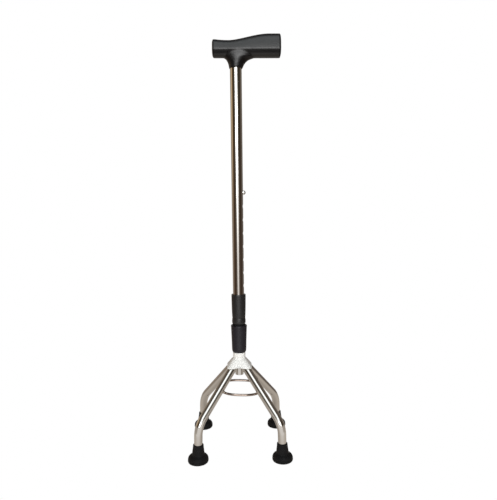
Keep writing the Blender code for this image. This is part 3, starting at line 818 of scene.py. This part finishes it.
def make_grip(material):
    """Grip and stem joined, remeshed and relaxed so that the stem blends into the grip."""
    rear_rim_x = HANDLE_REAR_X - CAP_T
    front_rim_x = HANDLE_FRONT_X + END_BULGE
    bm = bmesh.new()
    rings = end_rings(bm, front_rim_x, -1.0)[::-1]
    steps = 60
    for i in range(1, steps + 1):
        rings.append(handle_ring(bm, front_rim_x + (rear_rim_x + 0.0040 - front_rim_x) * i / steps, 1.0))
    grip = add_piece("grip_moulding", loft(rings, bm))
    cut(grip, [cutter(neck_bm())], "UNION")
    remesh = grip.modifiers.new("remesh", "REMESH")
    remesh.mode = "VOXEL"
    remesh.voxel_size = 0.0007
    relax = grip.modifiers.new("relax", "SMOOTH")
    relax.factor = 0.5
    relax.iterations = 35
    apply_modifiers(grip)
    trim_size = (0.06, 0.06, 0.06)
    rear_trim = block_cutter(trim_size, Matrix.Translation((rear_rim_x + 0.03, 0.0, 0.75)))
    low_trim = block_cutter(trim_size, Matrix.Translation((0.0, 0.0, NECK_BOTTOM_Z + 0.0003 - 0.03)))
    bore = rod(OUTER_R + GAP, (0.0, 0.0, 0.70), (0.0, 0.0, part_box("upper_tube")[1].z + GAP), TUBE_SIDES)
    screw_hole = rod(SCREW_HOLE_R, (0.0, 0.008, SCREW_Z), (0.0, 0.018, SCREW_Z), 24)
    head_seat = rod(0.0034, (0.0, SCREW_SEAT_Y, SCREW_Z), (0.0, 0.018, SCREW_Z), 40)
    cutters = [rear_trim, low_trim, cutter(bore), cutter(screw_hole), cutter(head_seat)]
    cut(grip, cutters, smooth_deg=50.0)
    return finish_piece(grip, "upper", "handle_plastic", material, "handle_grip")


def make_end_cap(material):
    rim_x = HANDLE_REAR_X - CAP_T + GAP
    bm = bmesh.new()
    rings = [handle_ring(bm, rim_x, 1.0, 0.0009), handle_ring(bm, rim_x + 0.00015, 1.0, 0.0004)]
    rings += [handle_ring(bm, rim_x + 0.0004, 1.0, 0.0001)]
    rings += end_rings(bm, HANDLE_REAR_X - END_BULGE, 1.0, 14)
    cap = add_piece("end_cap_moulding", loft(rings, bm), 50.0)
    weigh_normals(cap)
    return finish_piece(cap, "upper", "cap_plastic", material, "handle_end_cap")


def make_screw(material):
    """Pan head with a cross recess."""
    head_low = SCREW_SEAT_Y + GAP
    profile = [(0.0016, 0.0080), (0.0016, head_low), (0.0031, head_low), (0.0031, head_low + 0.0006)]
    for i in range(1, 7):
        angle = math.radians(14.0 * i)
        profile.append((0.0031 * math.cos(angle), head_low + 0.0006 + 0.0010 * math.sin(angle)))
    bm = aim(turned(profile, 40), (0.0, 1.0, 0.0), (0.0, 0.0, SCREW_Z))
    screw = add_piece("stem_screw", bm, 35.0)
    bars = []
    for turn in (0.0, 90.0):
        place = Matrix.Translation((0.0, head_low + 0.0014, SCREW_Z))
        place = place @ Matrix.Rotation(math.radians(turn + 20.0), 4, "Y")
        bars.append(block_cutter((0.0034, 0.0014, 0.0007), place))
    cut(screw, bars, smooth_deg=35.0)
    weigh_normals(screw)
    return finish_piece(screw, "upper", "screw_steel", material, "handle_screw")


# ---------------------------------------------------------------- studio
def make_camera():
    """Slightly above half height, in front of the cane, tilted down a little."""
    data = bpy.data.cameras.new("camera")
    data.sensor_width = 36.0
    data.lens = 35.21
    data.shift_y = 0.0606
    tilt = math.radians(8.463)
    roll = math.radians(-0.52)
    pan = math.radians(1.20)
    forward = Vector((math.sin(pan) * math.cos(tilt), math.cos(pan) * math.cos(tilt), -math.sin(tilt)))
    right = Vector((math.cos(pan), -math.sin(pan), 0.0))
    up = right.cross(forward)
    rolled_right = right * math.cos(roll) + up * math.sin(roll)
    rolled_up = up * math.cos(roll) - right * math.sin(roll)
    matrix = Matrix((rolled_right, rolled_up, -forward)).transposed().to_4x4()
    matrix.translation = (0.0, -0.9234, 0.4655)
    camera = bpy.data.objects.new("camera", data)
    camera.matrix_world = matrix
    bpy.context.scene.collection.objects.link(camera)
    bpy.context.scene.camera = camera


FILL_WATTS = 11.0


def make_fill():
    """A large soft lamp above the camera that lifts matt surfaces only and shows in no reflection."""
    data = bpy.data.lights.new("fill", "AREA")
    data.shape = "RECTANGLE"
    data.size = 3.0
    data.size_y = 1.0
    data.energy = FILL_WATTS
    data.color = (0.97, 0.985, 1.0)
    lamp = bpy.data.objects.new("fill", data)
    lamp.location = (0.15, -1.6, 0.75)
    aim_at = Vector((0.0, 0.0, 0.25))
    lamp.rotation_euler = (aim_at - lamp.location).to_track_quat("-Z", "Y").to_euler()
    lamp.visible_glossy = False
    lamp.visible_camera = False
    bpy.context.scene.collection.objects.link(lamp)


class Graph:
    """Short forms for the node patterns that the world and the floor share."""

    def __init__(self, tree):
        self.nodes = tree.nodes
        self.links = tree.links
        self.nodes.clear()

    def add(self, kind):
        return self.nodes.new(f"ShaderNode{kind}")

    def plug(self, socket, value):
        if isinstance(value, bpy.types.NodeSocket):
            self.links.new(value, socket)
        elif isinstance(value, tuple):
            socket.default_value = (*value, 1.0)
        else:
            socket.default_value = value

    def math(self, operation, a, b=0.0, clamp=False):
        node = self.add("Math")
        node.operation = operation
        node.use_clamp = clamp
        self.plug(node.inputs[0], a)
        self.plug(node.inputs[1], b)
        return node.outputs[0]

    def rise(self, value, low, high):
        """0 where value is below low, 1 above high, straight between; low may be the larger one."""
        return self.math("DIVIDE", self.math("SUBTRACT", value, low), high - low, clamp=True)

    def mix(self, factor, a, b):
        node = self.add("Mix")
        node.data_type = "RGBA"
        self.plug(node.inputs["Factor"], factor)
        self.plug(next(s for s in node.inputs if s.name == "A" and s.type == "RGBA"), a)
        self.plug(next(s for s in node.inputs if s.name == "B" and s.type == "RGBA"), b)
        return next(s for s in node.outputs if s.type == "RGBA")

    def brighten(self, colour, factor):
        node = self.add("VectorMath")
        node.operation = "SCALE"
        self.plug(node.inputs["Vector"], colour)
        self.plug(node.inputs["Scale"], factor)
        return node.outputs["Vector"]

    def ramp(self, value, stops):
        node = self.add("ValToRGB")
        elements = node.color_ramp.elements
        while len(elements) < len(stops):
            elements.new(0.5)
        for element, (position, colour) in zip(elements, stops):
            element.position = position
            element.color = (*colour, 1.0)
        self.plug(node.inputs["Fac"], value)
        return node.outputs["Color"]

    def split(self, output_name):
        """The X, Y and Z of a coordinate."""
        node = self.add("SeparateXYZ")
        self.plug(node.inputs[0], self.add("TexCoord").outputs[output_name])
        return node.outputs["X"], node.outputs["Y"], node.outputs["Z"]

    def around(self, stops, x, y):
        """Colours by compass direction in degrees: 0 is the camera's side, negative left, positive right."""
        radians = self.math("ARCTAN2", x, self.math("MULTIPLY", y, -1.0))
        degrees = self.math("MULTIPLY", radians, 180.0 / math.pi)
        positions = [(0.5 + angle / 360.0, colour) for angle, colour in stops]
        return self.ramp(self.rise(degrees, -180.0, 180.0), positions)


# Walls of the studio: warm and bright behind the cane, dark beside the front softbox.
BACK_WALL = (0.85, 0.81, 0.77)
LOW_BACK_WALL = (0.32, 0.295, 0.27)
HIGH_WALLS = (
    (-180, BACK_WALL),
    (-172, BACK_WALL),
    (-158, (0.26, 0.20, 0.15)),
    (-135, (0.22, 0.165, 0.115)),
    (-116, (0.72, 0.60, 0.44)),
    (-96, (0.78, 0.60, 0.38)),
    (-79, (0.24, 0.13, 0.055)),
    (-66, (0.06, 0.032, 0.012)),
    (-46, (0.045, 0.038, 0.02)),
    (-28, (0.30, 0.29, 0.26)),
    (28, (0.30, 0.28, 0.25)),
    (46, (0.04, 0.034, 0.02)),
    (66, (0.035, 0.025, 0.014)),
    (84, (0.10, 0.075, 0.055)),
    (116, (0.24, 0.21, 0.18)),
    (135, (0.20, 0.17, 0.14)),
    (158, (0.24, 0.21, 0.18)),
    (172, BACK_WALL),
    (180, BACK_WALL),
)
LOW_WALLS = (
    (-180, LOW_BACK_WALL),
    (-165, (0.34, 0.29, 0.25)),
    (-138, (0.36, 0.30, 0.25)),
    (-114, (0.40, 0.33, 0.27)),
    (-97, (0.20, 0.14, 0.10)),
    (-78, (0.09, 0.055, 0.035)),
    (-60, (0.06, 0.035, 0.02)),
    (-38, (0.12, 0.09, 0.07)),
    (38, (0.11, 0.08, 0.06)),
    (66, (0.05, 0.03, 0.02)),
    (97, (0.12, 0.09, 0.07)),
    (114, (0.16, 0.13, 0.11)),
    (158, (0.20, 0.17, 0.15)),
    (172, LOW_BACK_WALL),
    (180, LOW_BACK_WALL),
)
# Brightness of the softbox by the sine of the elevation: dim at its foot, brightest just above the lens.
SOFTBOX_PEAK = 7.0
SOFTBOX = (
    (-0.34, (0.015, 0.014, 0.013)),
    (-0.24, (0.125, 0.120, 0.114)),
    (-0.14, (0.140, 0.134, 0.130)),
    (-0.08, (0.165, 0.160, 0.156)),
    (0.00, (0.28, 0.28, 0.275)),
    (0.13, (1.00, 1.00, 1.00)),
    (0.29, (1.00, 1.00, 1.00)),
    (0.35, (0.26, 0.265, 0.265)),
    (0.50, (0.26, 0.270, 0.272)),
    (0.86, (0.28, 0.295, 0.300)),
)
CEILING = (0.10, 0.115, 0.13)
UPPER_WALLS = (0.13, 0.105, 0.085)


def make_world():
    """White to the camera; to light and reflections a dark room with a tall softbox behind the camera."""
    world = bpy.data.worlds.new("studio")
    bpy.context.scene.world = world
    world.use_nodes = True
    graph = Graph(world.node_tree)
    x, y, z = graph.split("Generated")
    climb = graph.math("POWER", graph.rise(z, -0.17, 0.17), 2.0)
    walls = graph.mix(climb, graph.around(LOW_WALLS, x, y), graph.around(HIGH_WALLS, x, y))
    walls = graph.mix(graph.rise(z, 0.38, 0.55), walls, UPPER_WALLS)
    levels = [(0.5 + 0.5 * sine, colour) for sine, colour in SOFTBOX]
    softbox = graph.brighten(graph.ramp(graph.rise(z, -1.0, 1.0), levels), SOFTBOX_PEAK)
    inside = graph.rise(graph.math("ABSOLUTE", x), 0.33, 0.24)
    in_front = graph.rise(y, 0.0, -0.1)
    room = graph.mix(graph.math("MULTIPLY", inside, in_front), walls, softbox)
    room = graph.mix(graph.rise(z, 0.93, 0.98), room, CEILING)
    seen = graph.mix(graph.add("LightPath").outputs["Is Camera Ray"], room, (1.0, 1.0, 1.0))
    background = graph.add("Background")
    graph.plug(background.inputs["Color"], seen)
    graph.links.new(background.outputs[0], graph.add("OutputWorld").inputs[0])


# Brightness of the paper floor by distance from the cane, in metres: painted light that the floor glows with
# to every ray but the camera's, with painted shade under the base and a brighter pool round it.
FLOOR_GLOW = (
    (0.00, (0.40, 0.355, 0.31)),
    (0.12, (0.56, 0.50, 0.44)),
    (0.20, (0.64, 0.57, 0.50)),
    (0.34, (0.52, 0.47, 0.41)),
    (0.50, (0.46, 0.41, 0.36)),
)
# Painted light: a bright strip that the floor glows with in front of the cane.
FLOOR_FRONT = (0.90, 0.86, 0.82)
# Outline of the paper (radius, height): flat round the cane, curving up to a low rim that fades out
# behind it.
FLOOR_EDGE = ((0.42, 0.0), (0.45, 0.008), (0.47, 0.03), (0.48, 0.13))


def make_floor():
    """A plain pale floor, white to the camera; to every other ray it glows with painted light: warm, with
    painted shade under the base and a bright strip in front.
    """
    bm = bmesh.new()
    rings = []
    for radius, height in FLOOR_EDGE:
        ring = []
        for i in range(TUBE_SIDES):
            angle = 2.0 * math.pi * i / TUBE_SIDES
            lift = height * min(max(0.6 - 2.0 * math.sin(angle), 0.0), 1.0)
            ring.append(bm.verts.new((radius * math.cos(angle), radius * math.sin(angle), lift)))
        rings.append(ring)
    bm.faces.new(rings[0])
    bridge_rings(bm, rings, closed_path=False)
    floor = add_piece("floor", bm)
    floor.location.z = -0.0002
    material = bpy.data.materials.new("floor_paper")
    material.use_nodes = True
    graph = Graph(material.node_tree)
    x, y = graph.split("Object")[:2]
    square = graph.math("ADD", graph.math("MULTIPLY", x, x), graph.math("MULTIPLY", y, y))
    around_cane = graph.ramp(graph.math("SQRT", square), FLOOR_GLOW)
    in_strip = graph.rise(graph.math("ABSOLUTE", x), 0.36, 0.22)
    in_front = graph.rise(y, -0.10, -0.22)
    # Painted light: the glow round the cane, brightened in a strip in front of it.
    painted_paper_glow = graph.mix(graph.math("MULTIPLY", in_strip, in_front), around_cane, FLOOR_FRONT)
    shown = graph.mix(graph.add("LightPath").outputs["Is Camera Ray"], painted_paper_glow, (1.0, 1.0, 1.0))
    glow = graph.add("Emission")
    graph.plug(glow.inputs["Color"], shown)
    graph.links.new(glow.outputs[0], graph.add("OutputMaterial").inputs[0])
    material.cycles.emission_sampling = "NONE"
    floor.data.materials.append(material)


# ---------------------------------------------------------------- build
def build():
    make_camera()
    make_world()
    make_floor()
    make_fill()
    bpy.context.scene.view_settings.view_transform = "Standard"

    outer_steel = polished_steel("outer_tube_polish", (0.66, 0.64, 0.61), 0.10)
    inner_steel = polished_steel("inner_tube_polish", (0.68, 0.67, 0.65), 0.12)
    leg_steel = polished_steel("leg_polish", (0.66, 0.645, 0.62), 0.11, along=(1.0, 1.0, 1.0))
    ring_steel = polished_steel("ring_polish", (0.38, 0.31, 0.27), 0.10, along=(1.0, 1.0, 1.0))
    weld_steel = plain_metal("weld_bead", (0.42, 0.37, 0.31), 0.34)
    button_steel = polished_steel("button_polish", (0.70, 0.69, 0.66), 0.14, along=(1.0, 1.0, 1.0))
    rubber = foot_rubber("tip_rubber")

    for place, side_x, side_y in PLACES:
        make_leg(place, side_x, side_y, leg_steel)
        make_foot(place, side_x, side_y, rubber)
        make_ring_weld(place, side_x, side_y, weld_steel)
    make_brace_ring(ring_steel)
    make_hub(white_plastic("hub_white"))
    make_inner_tube(inner_steel)
    make_outer_tube(outer_steel)
    make_collar(satin_plastic("collar_black", (0.009, 0.009, 0.0095), (0.013, 0.013, 0.014), 0.42))
    make_nut(satin_plastic("nut_black", (0.006, 0.0055, 0.010), (0.009, 0.008, 0.013), 0.42, 0.40))
    make_button(button_steel)
    make_spring(plain_metal("spring_blue", (0.34, 0.35, 0.38), 0.32))
    make_grip(satin_plastic("grip_black", (0.004, 0.004, 0.0045), (0.008, 0.008, 0.0085), 0.33))
    make_end_cap(satin_plastic("cap_black", (0.007, 0.007, 0.008), (0.012, 0.012, 0.013), 0.37))
    make_screw(plain_metal("screw_zinc", (0.52, 0.52, 0.53), 0.30))

    carried_over = {
        "inner_tube_guide": plain_plastic("guide_nylon_fine", (0.75, 0.74, 0.70), 0.50),
        "inner_tube_plug": plain_plastic("plug_black", (0.045, 0.045, 0.046), 0.55),
    }
    washer_zinc = plain_metal("washer_zinc", (0.56, 0.56, 0.56), 0.30)
    for place, _, _ in PLACES:
        carried_over[f"foot_washer_{place}"] = washer_zinc
    for node, material in carried_over.items():
        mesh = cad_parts[node].data
        mesh.materials.clear()
        mesh.materials.append(material)


build()
